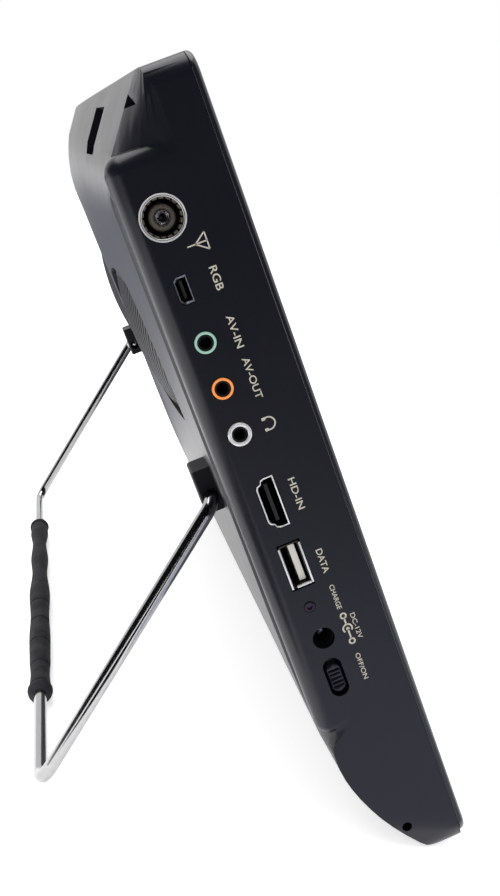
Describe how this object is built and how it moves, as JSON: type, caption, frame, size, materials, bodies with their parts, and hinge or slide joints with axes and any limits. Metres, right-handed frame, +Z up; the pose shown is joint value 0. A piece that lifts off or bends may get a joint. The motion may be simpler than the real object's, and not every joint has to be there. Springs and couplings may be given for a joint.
{
  "type": "portable television",
  "caption": "Slim flat-screen portable television with a row of side sockets, leaning back on a folding wire stand with a foam grip.",
  "frame": {"origin": "on the floor, in the middle of the footprint", "axes": "+X to the right of a person who faces the screen, -Y the way the screen faces, +Z up; the set leans back 27.3 degrees about X"},
  "size_m": [0.35, 0.1322, 0.2172],
  "materials": {
    "case_black": "satin black moulded plastic",
    "bezel_black": "gloss black",
    "grille_black": "satin black, diagonal slots",
    "screen_glass": "dark glossy display",
    "white_plastic": "matte",
    "sheet_metal": "bright zinc",
    "circuit_board": "green solder resist",
    "battery_wrap": "shrink wrap",
    "ribbon_film": "amber film",
    "moulded_black": "matte",
    "ir_plastic": "dark red gloss",
    "jack_green": "pale green",
    "jack_orange": "orange",
    "jack_metal": "nickel plated",
    "plated_metal": "nickel plated",
    "dark_metal": "dark nickel",
    "socket_grey": "grey-brown moulding",
    "tongue_white": "off-white",
    "led_plastic": "dark violet lens",
    "chrome_wire": "polished chrome",
    "foam_black": "foam rubber",
    "bracket_black": "satin black",
    "foot_rubber": "matte",
    "screw_metal": "black zinc",
    "button_black": "gloss black"
  },
  "bodies": {
    "set": {"antenna_contact": "plated_metal", "antenna_insulator": "socket_grey", "antenna_shell": "plated_metal", "av_in_jack": "jack_green", "av_out_jack": "jack_orange", "backlight": "white_plastic", "bail_bracket_left": "bracket_black", "bail_bracket_right": "bracket_black", "battery_pack": "battery_wrap", "board_screws": "screw_metal", "button_board": "circuit_board", "charge_led": "led_plastic", "cover_screws": "screw_metal", "data_shell": "plated_metal", "data_tongue": "tongue_white", "dc_jack": "moulded_black", "dc_pin": "plated_metal", "front_bezel": "bezel_black", "hd_shell": "plated_metal", "hd_tongue": "moulded_black", "headphone_jack": "jack_metal", "ir_window": "ir_plastic", "jack_board": "circuit_board", "key_switches": "moulded_black", "lcd_frame": "sheet_metal", "lcd_panel": "screen_glass", "main_board": "circuit_board", "panel_ribbon": "ribbon_film", "power_switch_case": "moulded_black", "rear_cover": "case_black", "rgb_shell": "dark_metal", "rgb_tongue": "moulded_black", "rubber_feet": "foot_rubber", "speaker_left": "moulded_black", "speaker_right": "moulded_black", "tuner_can": "sheet_metal", "vent_grille_left": "grille_black", "vent_grille_right": "grille_black"},
    "bail": {"stand_bail": "chrome_wire", "bail_grip": "foam_black"},
    "power_knob": {"power_knob": "moulded_black"},
    "button_source": {"button_source": "button_black"},
    "button_menu": {"button_menu": "button_black"},
    "button_volume_down": {"button_volume_down": "button_black"},
    "button_volume_up": {"button_volume_up": "button_black"},
    "button_channel_down": {"button_channel_down": "button_black"},
    "button_channel_up": {"button_channel_up": "button_black"},
    "button_standby": {"button_standby": "button_black"}
  },
  "joints": [
    {"name": "bail_hinge", "type": "hinge", "parent": "set", "child": "bail", "pos_m": [0, 0.01985, 0.09657], "axis": [1, 0, 0], "range_deg": [-51.78, 0]},
    {"name": "power_slide", "type": "slide", "parent": "set", "child": "power_knob", "axis": [0, -0.4587, -0.8886], "range_m": [-0.0009, 0.0009]},
    {"name": "button_source_press", "type": "slide", "parent": "set", "child": "button_source", "axis": [0, 0.8886, -0.4587], "range_m": [0, 0.0006], "stiffness_N_per_m": 600, "springref_m": -0.0005},
    {"name": "button_menu_press", "type": "slide", "parent": "set", "child": "button_menu", "axis": [0, 0.8886, -0.4587], "range_m": [0, 0.0006], "stiffness_N_per_m": 600, "springref_m": -0.0005},
    {"name": "button_volume_down_press", "type": "slide", "parent": "set", "child": "button_volume_down", "axis": [0, 0.8886, -0.4587], "range_m": [0, 0.0006], "stiffness_N_per_m": 600, "springref_m": -0.0005},
    {"name": "button_volume_up_press", "type": "slide", "parent": "set", "child": "button_volume_up", "axis": [0, 0.8886, -0.4587], "range_m": [0, 0.0006], "stiffness_N_per_m": 600, "springref_m": -0.0005},
    {"name": "button_channel_down_press", "type": "slide", "parent": "set", "child": "button_channel_down", "axis": [0, 0.8886, -0.4587], "range_m": [0, 0.0006], "stiffness_N_per_m": 600, "springref_m": -0.0005},
    {"name": "button_channel_up_press", "type": "slide", "parent": "set", "child": "button_channel_up", "axis": [0, 0.8886, -0.4587], "range_m": [0, 0.0006], "stiffness_N_per_m": 600, "springref_m": -0.0005},
    {"name": "button_standby_press", "type": "slide", "parent": "set", "child": "button_standby", "axis": [0, 0.8886, -0.4587], "range_m": [0, 0.0006], "stiffness_N_per_m": 600, "springref_m": -0.0005}
  ]
}
